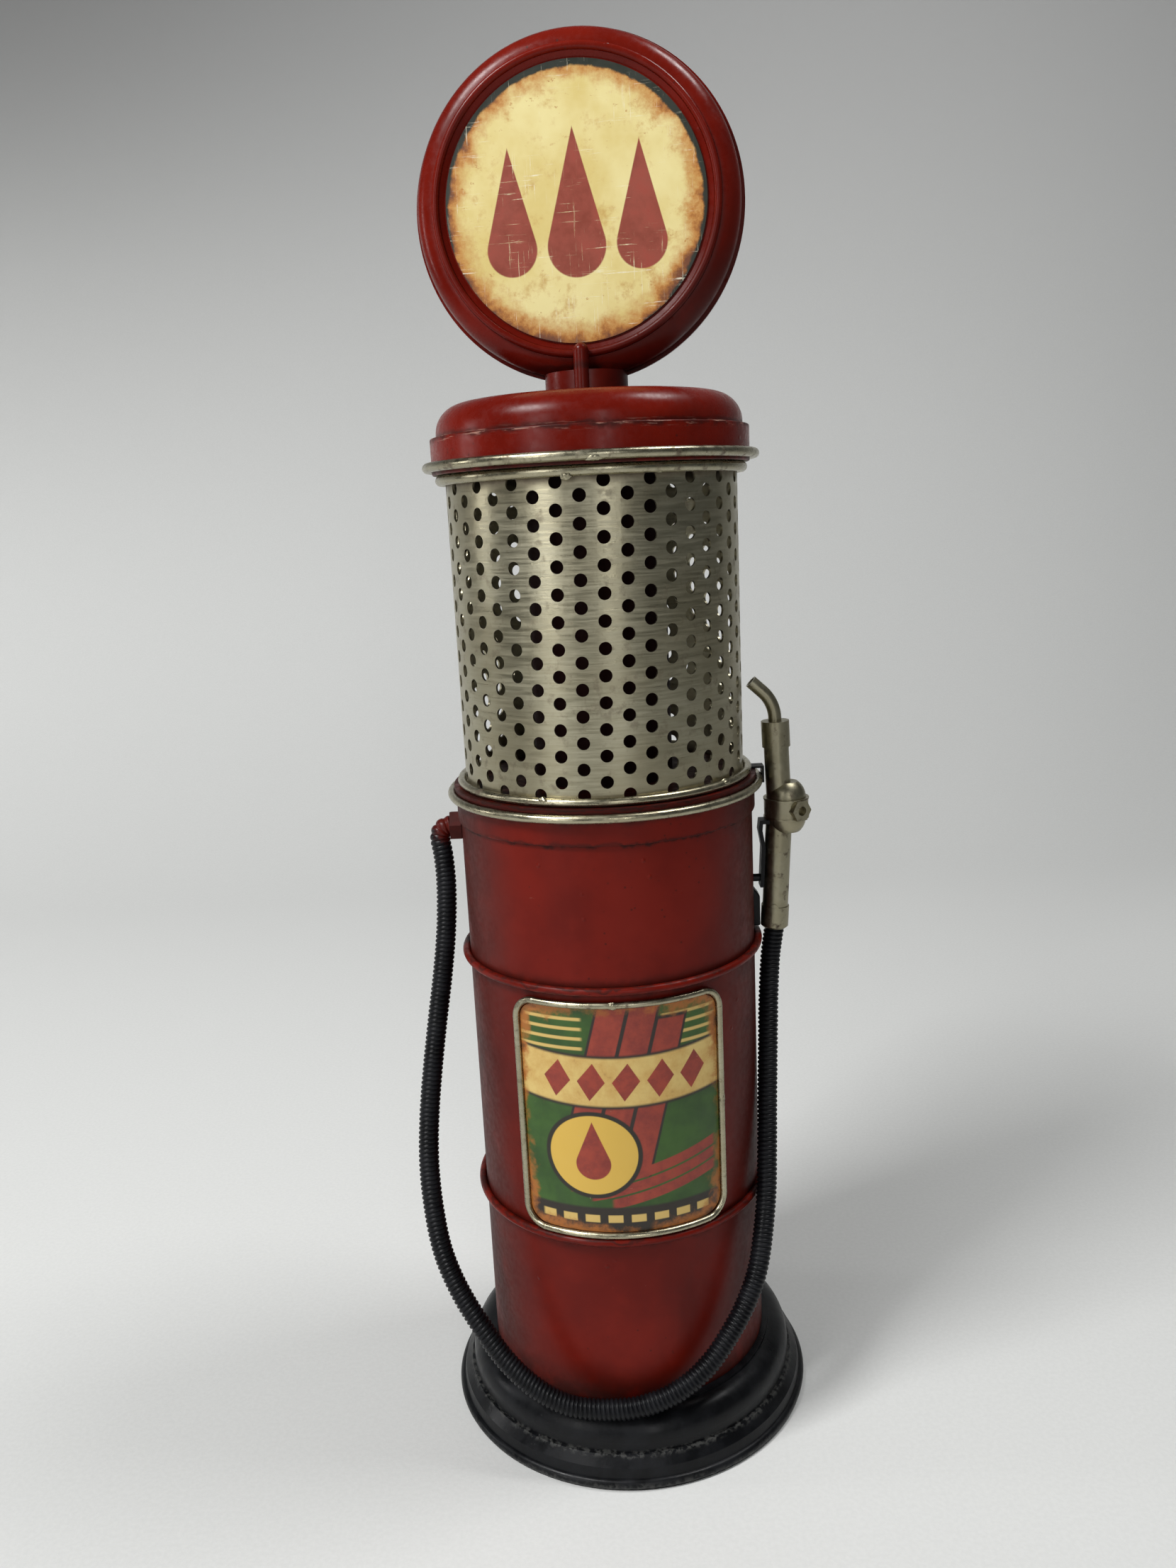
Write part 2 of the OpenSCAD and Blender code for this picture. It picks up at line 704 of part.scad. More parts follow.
module valve_nut() {
    color(silver) translate([valve_x, 0, valve_z]) rotate([0, 0, valve_nut_turn])
        translate([0, -valve_r + 1, 0]) rotate([90, 0, 0]) difference() {
            hex_prism(valve_nut_af, valve_nut_t);
            translate([0, 0, 0.4]) cylinder(r = 1.5, h = valve_nut_t);
        }
}

module nozzle_barrel() {
    color(silver) difference() {
        on_barrel() translate([0, 0, -1]) cylinder(r = barrel_r, h = barrel_l + 1);
        translate([stem_x, 0, valve_z1 - 5]) cylinder(r = 2 * barrel_r, h = 5);
    }
}

module spout_collar() {
    color(silver) on_barrel() translate([0, 0, barrel_l]) difference() {
        cylinder(r = spout_collar_r, h = spout_collar_l);
        translate([0, 0, spout_collar_l - 0.6]) cylinder(r = spout_r, h = 1);
    }
}

module spout() {
    color(silver) on_barrel() translate([0, 0, barrel_l + spout_collar_l - 0.6]) {
        difference() {
            cylinder(r = spout_r, h = 1.6, $fn = 48);
            translate([0, 0, -1]) cylinder(r = spout_r - spout_wall, h = 4, $fn = 48);
        }
        translate([-spout_bend, 0, 1.6]) rotate([90, 0, 0]) rotate_extrude(angle = spout_angle)
            translate([spout_bend, 0]) difference() {
                circle(spout_r, $fn = 48);
                circle(spout_r - spout_wall, $fn = 48);
            }
        translate([-spout_bend, 0, 1.6]) rotate([0, -spout_angle, 0]) translate([spout_bend, 0, 0])
            difference() {
                cylinder(r = spout_r, h = spout_tip, $fn = 48);
                translate([0, 0, -1]) cylinder(r = spout_r - spout_wall, h = spout_tip + 2, $fn = 48);
            }
    }
}

// black strap along the grip, with the eye that hangs on the peg
module guard_strap() {
    top_z = valve_z0 - 0.4;
    foot_z = rest_z0 + rest_h + nozzle_gap + 0.4;
    join_z = top_z - 9;
    function left(z) = grip_x(z) - grip_r(z) - 0.05;
    color(black) difference() {
        translate([0, strap_w / 2, 0]) rotate([90, 0, 0]) linear_extrude(strap_w) polygon([
            [left(foot_z), foot_z], [left(join_z), join_z],
            [left(join_z) - 0.3, join_z + 2], [left(top_z) - 1.4, top_z - 3.4],
            [left(top_z) - 1.2, top_z - 1.2], [left(top_z) + 2, top_z - 1.2], [left(top_z) + 2, top_z],
            [left(top_z) - 2.2, top_z],
            [left(top_z) - 2.6, top_z - 3.4], [left(join_z) - 0.3 - strap_t, join_z + 2],
            [left(join_z) - strap_t, join_z], [left(foot_z) - strap_t, foot_z]
        ]);
        translate([drum_r, 0, peg_z]) rotate([0, 90, 0])
            cylinder(d = peg_d + 2 * peg_gap, h = 12);
        on_grip() translate([0, 0, -grip_l]) cylinder(r1 = grip_low_r, r2 = grip_top_r, h = grip_l + 1);
        translate([valve_x, 0, valve_z0]) rotate_extrude() intersection() {
            circle(valve_top_r);
            translate([0, -valve_low_h]) square([valve_r, valve_low_h]);
        }
    }
}

base_flange();
base_bowl();
drum_shell();
drum_top_plate();
drum_collar();
drum_top_ring();
upper_hoop();
lower_hoop();
mesh_foot_ring();
perforated_cylinder();
inner_tube();
mesh_head_ring();
cap_floor();
cap_ring();
cap_band();
cap_lid();
sign_neck();
sign_front_dish();
sign_rear_dish();
sign_bezel();
sign_face();
plaque();
plaque_frame();
hose_stud();
hose_nut();
hose();
hanger_strip();
hanger_peg();
lower_rest();
nozzle_low_collar();
nozzle_grip();
valve_low_shell();
valve_band();
valve_top_shell();
valve_nut();
nozzle_barrel();
spout_collar();
spout();
guard_strap();
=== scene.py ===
import math

import bpy
import numpy as np
from mathutils import Matrix, Vector, noise


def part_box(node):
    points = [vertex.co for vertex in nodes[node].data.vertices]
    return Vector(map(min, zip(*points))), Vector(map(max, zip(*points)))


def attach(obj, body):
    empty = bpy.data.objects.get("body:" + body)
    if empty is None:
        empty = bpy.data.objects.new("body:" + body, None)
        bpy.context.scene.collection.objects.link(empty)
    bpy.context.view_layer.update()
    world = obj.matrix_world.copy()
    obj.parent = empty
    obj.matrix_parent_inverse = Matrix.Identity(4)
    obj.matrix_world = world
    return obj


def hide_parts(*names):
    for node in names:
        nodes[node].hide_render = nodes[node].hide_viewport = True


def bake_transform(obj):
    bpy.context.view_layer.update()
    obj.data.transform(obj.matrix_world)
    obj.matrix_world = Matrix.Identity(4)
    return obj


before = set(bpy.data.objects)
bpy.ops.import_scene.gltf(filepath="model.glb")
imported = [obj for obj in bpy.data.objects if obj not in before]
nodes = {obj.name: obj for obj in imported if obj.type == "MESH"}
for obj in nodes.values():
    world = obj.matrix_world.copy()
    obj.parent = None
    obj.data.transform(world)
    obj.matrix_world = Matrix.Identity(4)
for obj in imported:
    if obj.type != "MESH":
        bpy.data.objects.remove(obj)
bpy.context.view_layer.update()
scene = bpy.context.scene


def box(name):
    low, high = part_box(name)
    return np.array(low), np.array(high)


def heights(name):
    """Lowest and highest point of a CAD node above the table."""
    low, high = box(name)
    return low[2], high[2]


def mid_height(name):
    low, high = heights(name)
    return (low + high) / 2


# ---- camera ----

# the photograph's height and the focal length, in pixels
HEIGHT, FOCAL = 2212, 1724.24
SENSOR = 36.0
CAMERA_AT = (0.0, -0.378217, 0.293428)
right = Vector((0.99885225, 0.00364979, -0.04775842))
up = Vector((0.04582079, 0.21761747, 0.97495799))
ahead = Vector((-0.01395146, 0.97602731, -0.21720047))
camera_data = bpy.data.cameras.new("camera")
camera_data.sensor_width = SENSOR
camera_data.lens = FOCAL * SENSOR / HEIGHT
camera_data.clip_start = 0.01
camera = bpy.data.objects.new("camera", camera_data)
turned = Matrix((right, up, -ahead)).transposed().to_4x4()
camera.matrix_world = Matrix.Translation(CAMERA_AT) @ turned
scene.collection.objects.link(camera)
scene.camera = camera


# ---- mesh helpers ----

def add_mesh(name, verts, faces, smooth=True):
    mesh = bpy.data.meshes.new(name)
    mesh.from_pydata([tuple(v) for v in verts], [], [tuple(int(i) for i in f) for f in faces])
    mesh.polygons.foreach_set("use_smooth", [smooth] * len(mesh.polygons))
    mesh.update()
    obj = bpy.data.objects.new(name, mesh)
    scene.collection.objects.link(obj)
    return obj


STEPS_A_SPAN = 40


def curve_through(points, steps):
    """Even points along a centripetal spline through the given ones."""
    p = np.array(points, float)
    p = np.vstack([2 * p[0] - p[1], p, 2 * p[-1] - p[-2]])
    out = []
    for i in range(1, len(p) - 2):
        a, b, c, d = p[i - 1:i + 3]
        t0 = 0.0
        t1 = t0 + math.sqrt(np.linalg.norm(b - a))
        t2 = t1 + math.sqrt(np.linalg.norm(c - b))
        t3 = t2 + math.sqrt(np.linalg.norm(d - c))
        for t in np.linspace(t1, t2, STEPS_A_SPAN, endpoint=False):
            a1 = (t1 - t) / (t1 - t0) * a + (t - t0) / (t1 - t0) * b
            a2 = (t2 - t) / (t2 - t1) * b + (t - t1) / (t2 - t1) * c
            a3 = (t3 - t) / (t3 - t2) * c + (t - t2) / (t3 - t2) * d
            b1 = (t2 - t) / (t2 - t0) * a1 + (t - t0) / (t2 - t0) * a2
            b2 = (t3 - t) / (t3 - t1) * a2 + (t - t1) / (t3 - t1) * a3
            out.append((t2 - t) / (t2 - t1) * b1 + (t - t1) / (t2 - t1) * b2)
    out.append(p[-2])
    out = np.array(out)
    s = np.concatenate([[0], np.cumsum(np.linalg.norm(np.diff(out, axis=0), axis=1))])
    even = np.linspace(0, s[-1], steps)
    return np.stack([np.interp(even, s, out[:, k]) for k in range(3)], 1), even


def frames_along(path, first_side):
    """Tangent and two side vectors at each point, without twist."""
    t = np.gradient(path, axis=0)
    t /= np.linalg.norm(t, axis=1)[:, None]
    u = np.zeros_like(t)
    a = np.array(first_side, float)
    for i in range(len(t)):
        a = a - a.dot(t[i]) * t[i]
        a /= np.linalg.norm(a)
        u[i] = a
    return t, u, np.cross(t, u)


def tube_mesh(name, path, radius_of, sides, first_side=(0, 1, 0)):
    """Closed tube; radius_of(ring index array, angle array) gives the radius of every point."""
    _, u, v = frames_along(path, first_side)
    n = len(path)
    angle = np.arange(sides) * 2 * math.pi / sides
    r = radius_of(np.arange(n)[:, None], angle[None, :])
    across = np.cos(angle)[None, :, None] * u[:, None] + np.sin(angle)[None, :, None] * v[:, None]
    pts = path[:, None] + r[..., None] * across
    verts = pts.reshape(-1, 3)
    i, k = np.meshgrid(np.arange(n - 1), np.arange(sides), indexing="ij")
    m = (k + 1) % sides
    quads = np.stack([i * sides + k, i * sides + m, (i + 1) * sides + m, (i + 1) * sides + k], -1)
    faces = [tuple(f) for f in quads.reshape(-1, 4)]
    faces.append(tuple(range(sides - 1, -1, -1)))
    faces.append(tuple(range((n - 1) * sides, n * sides)))
    return add_mesh(name, verts, faces)


# ---- hose ----

ROUTE = [
    (-0.0498, 0, 0.1978), (-0.0513, 0, 0.1975), (-0.0525, 0, 0.1966), (-0.0533, 0, 0.1953),
    (-0.0535, 0, 0.1936), (-0.0529, -0.0001, 0.188),
    (-0.0525, -0.0014, 0.179), (-0.0532, -0.0042, 0.165), (-0.055, -0.0076, 0.1505),
    (-0.0573, -0.0116, 0.136), (-0.0594, -0.0157, 0.1215), (-0.061, -0.02, 0.107),
    (-0.0615, -0.0244, 0.0935), (-0.0604, -0.029, 0.08), (-0.0578, -0.0336, 0.0675),
    (-0.053, -0.0376, 0.0565), (-0.0465, -0.0416, 0.0465), (-0.039, -0.0453, 0.0365),
    (-0.03, -0.0483, 0.0286), (-0.02, -0.0504, 0.0236), (-0.0085, -0.0512, 0.0222),
    (0.003, -0.0508, 0.0227), (0.014, -0.049, 0.026), (0.0235, -0.046, 0.0322), (0.031, -0.042, 0.04),
    (0.037, -0.038, 0.0486), (0.0412, -0.034, 0.0575), (0.0438, -0.0293, 0.068),
    (0.0456, -0.0246, 0.079), (0.0468, -0.019, 0.092), (0.0478, -0.0138, 0.106),
    (0.049, -0.0084, 0.122), (0.0502, -0.0034, 0.138), (0.0514, -0.0007, 0.15), (0.0528, 0, 0.159),
]
HOSE_R = 0.00325
COIL_PITCH = 0.00142
GROOVE = 0.0008
RINGS_A_TURN = 8
HOSE_SIDES = 24
LOOSE_TURNS = 0.007
_, hose_s = curve_through(ROUTE, 100)
hose_length = float(hose_s[-1])
rings = int(hose_length / COIL_PITCH * RINGS_A_TURN)
hose_path, hose_s = curve_through(ROUTE, rings)
# the first turns at the nut stand a little apart
turns = np.cumsum(np.gradient(hose_s) / (COIL_PITCH * (1 + 0.45 * np.exp(-hose_s / LOOSE_TURNS))))
wobble = np.array([noise.noise(Vector((s * 160.0, 3.1, 0.0))) for s in hose_s])


def hose_radius(i, angle):
    phase = (turns[i] - angle / (2 * math.pi)) % 1.0
    bead = np.sqrt(np.clip(1 - (2 * phase - 1) ** 2, 0, 1))
    return HOSE_R - GROOVE * (1 - bead) + 0.00004 * wobble[i]


hose = tube_mesh("coil_hose", hose_path, hose_radius, HOSE_SIDES)


# ---- material helpers ----

class Mat:
    """A material and short calls for the nodes it is made of."""

    def __init__(self, name, **values):
        self.mat = bpy.data.materials.new(name)
        self.mat.use_nodes = True
        self.tree = self.mat.node_tree
        self.tree.nodes.clear()
        self.out = self.tree.nodes.new("ShaderNodeOutputMaterial")
        self.bsdf = self.tree.nodes.new("ShaderNodeBsdfPrincipled")
        self.tree.links.new(self.bsdf.outputs[0], self.out.inputs[0])
        for k, v in values.items():
            self.bsdf.inputs[k.replace("_", " ")].default_value = v
        self.pos = self.node("ShaderNodeTexCoord").outputs["Object"]
        sep = self.node("ShaderNodeSeparateXYZ", Vector=self.pos)
        self.x, self.y, self.z = sep.outputs

    def set(self, sock, v):
        if isinstance(v, bpy.types.NodeSocket):
            self.tree.links.new(v, sock)
        elif isinstance(v, (tuple, list)) and len(v) == 3 and sock.type == "RGBA":
            sock.default_value = (*v, 1.0)
        else:
            sock.default_value = v

    def node(self, kind, props=None, **ins):
        n = self.tree.nodes.new(kind)
        for k, v in (props or {}).items():
            setattr(n, k, v)
        for k, v in ins.items():
            self.set(n.inputs[k.replace("_", " ")], v)
        return n

    def op(self, kind, a, b=0.0):
        n = self.node("ShaderNodeMath", {"operation": kind})
        for s, v in zip(n.inputs, (a, b)):
            self.set(s, v)
        return n.outputs[0]

    def add(self, a, b): return self.op("ADD", a, b)
    def sub(self, a, b): return self.op("SUBTRACT", a, b)
    def mul(self, a, b): return self.op("MULTIPLY", a, b)
    def top(self, a, b): return self.op("MAXIMUM", a, b)
    def inv(self, a): return self.op("SUBTRACT", 1.0, a)

    def range(self, v, a, b, lo=0.0, hi=1.0):
        """v from a to b becomes lo to hi, smoothly."""
        n = self.node("ShaderNodeMapRange", {"interpolation_type": "SMOOTHSTEP", "clamp": True})
        for s, x in zip(n.inputs, (v, a, b, lo, hi)):
            self.set(s, x)
        return n.outputs[0]

    def place(self, scale=(1, 1, 1), loc=(0, 0, 0), rot=(0, 0, 0)):
        return self.node("ShaderNodeMapping", Vector=self.pos, Location=loc, Rotation=rot, Scale=scale).outputs[0]

    def noise(self, scale, detail=3.0, rough=0.55, vec=None):
        return self.node("ShaderNodeTexNoise", Vector=self.pos if vec is None else vec, Scale=scale,
                         Detail=detail, Roughness=rough).outputs[0]

    def cells(self, scale, vec=None):
        return self.node("ShaderNodeTexVoronoi", Vector=self.pos if vec is None else vec,
                         Scale=scale).outputs["Distance"]

    def mix(self, f, a, b):
        n = self.node("ShaderNodeMix", {"data_type": "RGBA"})
        self.set(n.inputs[0], f)
        self.set(n.inputs[6], a)
        self.set(n.inputs[7], b)
        return n.outputs[2]

    def bump(self, height, distance, strength=1.0, normal=None):
        n = self.node("ShaderNodeBump", Height=height, Distance=distance, Strength=strength)
        if normal is not None:
            self.set(n.inputs["Normal"], normal)
        return n.outputs[0]

    def near(self, z, width, wander=0.0, warp=None):
        """1 at height z fading to 0 at the width either side, wandering with warp."""
        height = self.z if warp is None else self.add(self.z, self.mul(warp, wander))
        d = self.op("ABSOLUTE", self.sub(height, z))
        return self.range(d, width, 0.0)

    def finish(self, color, rough=None, normal=None, metal=None):
        self.set(self.bsdf.inputs["Base Color"], color)
        if rough is not None:
            self.set(self.bsdf.inputs["Roughness"], rough)
        if metal is not None:
            self.set(self.bsdf.inputs["Metallic"], metal)
        if normal is not None:
            self.set(self.bsdf.inputs["Normal"], normal)
        return self.mat


def scaled(color, k):
    return tuple(c * k for c in color)


def red_paint(name, lines, gloss=0.3, band_strength=0.8, scratch_lines=(), deep=1.0, shade=None):
    """Brick red over tin, darker at the given heights (z, width).

    scratch_lines are heights where the paint is rubbed, deep scales the red, and shade(m) paints shade over a whole
    side.
    """
    m = Mat(name, Specular_IOR_Level=0.15)
    broad = m.noise(38.0, 4.0)
    fine = m.noise(520.0, 4.0, 0.6)
    mid = m.noise(140.0, 5.0, 0.62)
    dark, bright = scaled((0.108, 0.0046, 0.0016), deep), scaled((0.15, 0.0075, 0.0028), deep)
    red = m.mix(m.range(broad, 0.35, 0.68), dark, bright)
    red = m.mix(m.range(mid, 0.48, 0.75, 0.0, 0.35), red, scaled((0.175, 0.011, 0.005), deep))
    warp = m.sub(mid, 0.5)
    dark_bands = None
    for z, width in lines:
        one = m.near(z, width, 0.006, warp)
        dark_bands = one if dark_bands is None else m.top(dark_bands, one)
    smoke_and_shade = m.range(m.noise(22.0, 5.0, 0.6, m.place((1, 1, 0.35))), 0.52, 0.76, 0.0, 0.45)
    if dark_bands is not None:
        dark_bands = m.mul(dark_bands, m.range(mid, 0.25, 0.6, 0.35, 1.0))
        smoke_and_shade = m.top(smoke_and_shade, m.mul(dark_bands, band_strength))
    # painted shade: shade(m) darkens a whole side of the part
    if shade is not None:
        smoke_and_shade = m.top(smoke_and_shade, m.mul(shade(m), m.range(mid, 0.2, 0.6, 0.55, 1.0)))
    specks = m.range(m.cells(330.0), 0.16, 0.07, 0.0, 0.55)
    smoke_and_shade = m.top(smoke_and_shade, m.mul(specks, m.range(broad, 0.5, 0.62)))
    color = m.mix(smoke_and_shade, red, (0.013, 0.0042, 0.0028))
    worn = None
    for z, width in scratch_lines:
        streak = m.range(m.noise(1.0, 4.0, 0.7, m.place((120, 120, 1500))), 0.55, 0.63)
        one = m.mul(m.near(z, width), streak)
        worn = one if worn is None else m.top(worn, one)
    scuff = m.noise(1.0, 5.0, 0.7, m.place((260, 260, 900), rot=(0.5, 0.4, 0.2)))
    scuff = m.range(scuff, 0.735, 0.77, 0.0, 0.5)
    worn = scuff if worn is None else m.top(worn, scuff)
    color = m.mix(m.mul(worn, 0.75), color, (0.4, 0.21, 0.16))
    rough = m.range(fine, 0.3, 0.7, gloss - 0.05, gloss + 0.07)
    rough = m.add(rough, m.add(m.mul(smoke_and_shade, 0.22), m.mul(worn, 0.15)))
    pimple = m.range(m.cells(210.0, m.place(loc=(0.3, 0.1, 0.2))), 0.2, 0.0)
    pimple = m.mul(pimple, m.range(m.noise(60.0), 0.58, 0.66))
    n = m.bump(m.noise(26.0, 2.0), 0.0009, 0.4)
    n = m.bump(m.noise(150.0, 2.0), 0.00012, 0.3, n)
    n = m.bump(pimple, 0.00032, 0.8, n)
    n = m.bump(fine, 0.00003, 0.3, n)
    n = m.bump(worn, 0.0001, -0.5, n)
    return m.finish(color, rough, n)


def tin(name, brush, patina=0.5, light=1.0, lines=(), rough=(0.26, 0.42)):
    """Tinned sheet or wire: brushed, yellowed, with brown patina. brush is the scale of the streaks along x, y, z."""
    m = Mat(name, Metallic=1.0)
    streak = m.noise(1.0, 5.0, 0.65, m.place(brush))
    broad = m.noise(45.0, 4.0)
    mid = m.noise(240.0, 5.0, 0.65)
    a = m.mix(m.range(streak, 0.3, 0.72), scaled((0.47, 0.435, 0.3), light), scaled((0.6, 0.56, 0.41), light))
    b = m.mix(m.range(broad, 0.35, 0.7, 0.0, 0.6), a, scaled((0.42, 0.37, 0.24), light))
    stain = m.range(mid, 0.54, 0.72, 0.0, patina)
    for z, width in lines:
        stain = m.top(stain, m.mul(m.near(z, width, 0.003, m.sub(mid, 0.5)), 0.85))
    color = m.mix(stain, b, (0.075, 0.047, 0.03))
    r = m.add(m.range(streak, 0.3, 0.75, rough[0], rough[1]), m.mul(stain, 0.25))
    n = m.bump(m.noise(30.0, 2.0), 0.0008, 0.5)
    n = m.bump(streak, 0.00005, 0.6, n)
    n = m.bump(mid, 0.00016, 0.5, n)
    return m.finish(color, r, n, m.range(stain, 0.2, 0.95, 1.0, 0.45))


def black(name, lines=(), gloss=0.34, blue=1.0, overspray=None):
    """Black paint, dusty at the given heights. overspray is a point that red paint has drifted on to."""
    m = Mat(name, Specular_IOR_Level=0.19)
    fine = m.noise(600.0, 4.0, 0.6)
    mid = m.noise(120.0, 5.0, 0.62)
    c = m.mix(m.range(mid, 0.35, 0.7), (0.0028, 0.003, 0.0033 * blue), (0.0075, 0.008, 0.0087 * blue))
    dust = m.range(m.noise(1.0, 5.0, 0.7, m.place((400, 400, 900))), 0.66, 0.78, 0.0, 0.5)
    for z, width in lines:
        line = m.near(z, width, 0.002, m.sub(mid, 0.5))
        dust = m.top(dust, m.mul(line, m.range(fine, 0.45, 0.6, 0.0, 0.55)))
    c = m.mix(dust, c, (0.085, 0.085, 0.08))
    if overspray is not None:
        gap = m.node("ShaderNodeVectorMath", {"operation": "DISTANCE"})
        m.set(gap.inputs[0], m.pos)
        gap.inputs[1].default_value = overspray
        near = m.range(m.add(gap.outputs["Value"], m.mul(m.sub(fine, 0.5), 0.006)), 0.0075, 0.0035, 0.0, 0.8)
        c = m.mix(near, c, (0.1, 0.006, 0.002))
    r = m.add(m.range(mid, 0.3, 0.7, gloss - 0.06, gloss + 0.1), m.mul(dust, 0.25))
    n = m.bump(m.noise(32.0, 2.0), 0.0012, 0.55)
    n = m.bump(mid, 0.00025, 0.5, n)
    n = m.bump(fine, 0.00007, 0.5, n)
    return m.finish(c, r, n)


def assign(names, mat):
    for name in names:
        obj = nodes[name] if isinstance(name, str) else name
        obj.data.materials.clear()
        obj.data.materials.append(mat)


# ---- heights used by the finishes ----

drum_low, drum_top = heights("drum_shell")
collar_low, _ = heights("drum_collar")
mesh_low, mesh_top = heights("perforated_cylinder")
band_low, _ = heights("cap_band")
lid_low, lid_top = heights("cap_lid")
neck_low, neck_top = heights("sign_neck")
plate_low, plate_top = heights("drum_top_plate")
_, flange_top = heights("base_flange")
hoop_z = [mid_height("upper_hoop"), mid_height("lower_hoop")]
sign_z = mid_height("sign_front_dish")
HOOP_CREASE = 0.0011


# Painted shade down both sides of the drum, partly smoky wash as well.
def drum_shade(m):
    return m.range(m.op("ABSOLUTE", m.x), 0.024, 0.046, 0.0, 0.72)


# Painted shade: the sign darkens towards its lower right.
def sign_shade(m):
    fall = m.sub(m.mul(m.x, 0.7), m.mul(m.sub(m.z, sign_z), 0.7))
    return m.range(fall, 0.012, 0.05, 0.0, 0.6)


drum_red = red_paint(
    "drum_red",
    [(drum_low, 0.016), (hoop_z[0], 0.0045), (hoop_z[1], 0.0045), (collar_low, 0.0013), (drum_top - 0.001, 0.004)],
    0.36, 0.85, shade=drum_shade)
creases = [(z + d, 0.0008) for z in hoop_z for d in (-HOOP_CREASE, HOOP_CREASE)]
hoop_red = red_paint("hoop_red", creases, 0.34, 0.7)
# deep=0.5 darkens the plate as painted shade between the rings.
plate_red = red_paint("plate_red", [(plate_top, 0.0012), (plate_low, 0.0008)], 0.36, 0.8, deep=0.5)
cap_red = red_paint(
    "cap_red", [(band_low + 0.001, 0.003), (lid_low, 0.0016), (lid_top + 0.001, 0.0024)],
    0.27, 0.75, [(lid_low - 0.0004, 0.0016)])
sign_red = red_paint(
    "sign_red", [(neck_low, 0.002), (neck_top + 0.001, 0.002)], 0.25, 0.8, shade=sign_shade)
# The inner tube is dark red paint; deep=0.14 darkens it further to near black as painted shade inside the mesh.
tube_red = red_paint("tube_red", [(mesh_low, 0.012), (mesh_top, 0.02)], 0.5, 0.9, deep=0.14)

sheet_tin = tin(
    "sheet_tin", (70, 70, 1300), 0.4, 0.76, [(mesh_low, 0.004), (mesh_top - 0.002, 0.004)], (0.27, 0.44))
ring_tin = tin("ring_tin", (260, 260, 900), 0.85, 0.72, (), (0.22, 0.38))
nozzle_tin = tin("nozzle_tin", (420, 420, 300), 0.95, 0.62, (), (0.3, 0.46))
base_black = black("base_black", [(flange_top, 0.0012), (0.001, 0.002)], 0.33, 1.1)
iron_black = black("iron_black", (), 0.42)

assign(["drum_shell", "drum_collar", "hose_nut"], drum_red)
assign(["upper_hoop", "lower_hoop"], hoop_red)
assign(["drum_top_plate"], plate_red)
assign(["cap_band", "cap_lid"], cap_red)
assign(["sign_front_dish", "sign_rear_dish", "sign_bezel", "sign_neck"], sign_red)
assign(["inner_tube"], tube_red)
assign(["perforated_cylinder", "cap_floor"], sheet_tin)
assign(["drum_top_ring", "mesh_foot_ring", "mesh_head_ring", "cap_ring", "plaque_frame", "hose_stud"],
       ring_tin)
assign(["nozzle_low_collar", "nozzle_grip", "valve_low_shell", "valve_band", "valve_top_shell", "valve_nut",
        "nozzle_barrel", "spout_collar", "spout"], nozzle_tin)
assign(["base_flange", "base_bowl"], base_black)
assign(["hanger_strip", "hanger_peg", "lower_rest", "guard_strap"], iron_black)

hose_mat = black("hose_black", (), 0.36, 1.15, ROUTE[0])
assign([hose], hose_mat)


# ---- printed sign face ----

SIGN_TURN = math.radians(-6.5)
# the drops as (place across, size), and the radius and height of one of size 1, in radii of the face
DROPS = ((-0.5, 0.86), (0.0, 1.0), (0.5, 0.86))
DROP_R, DROP_H = 0.225, 0.84


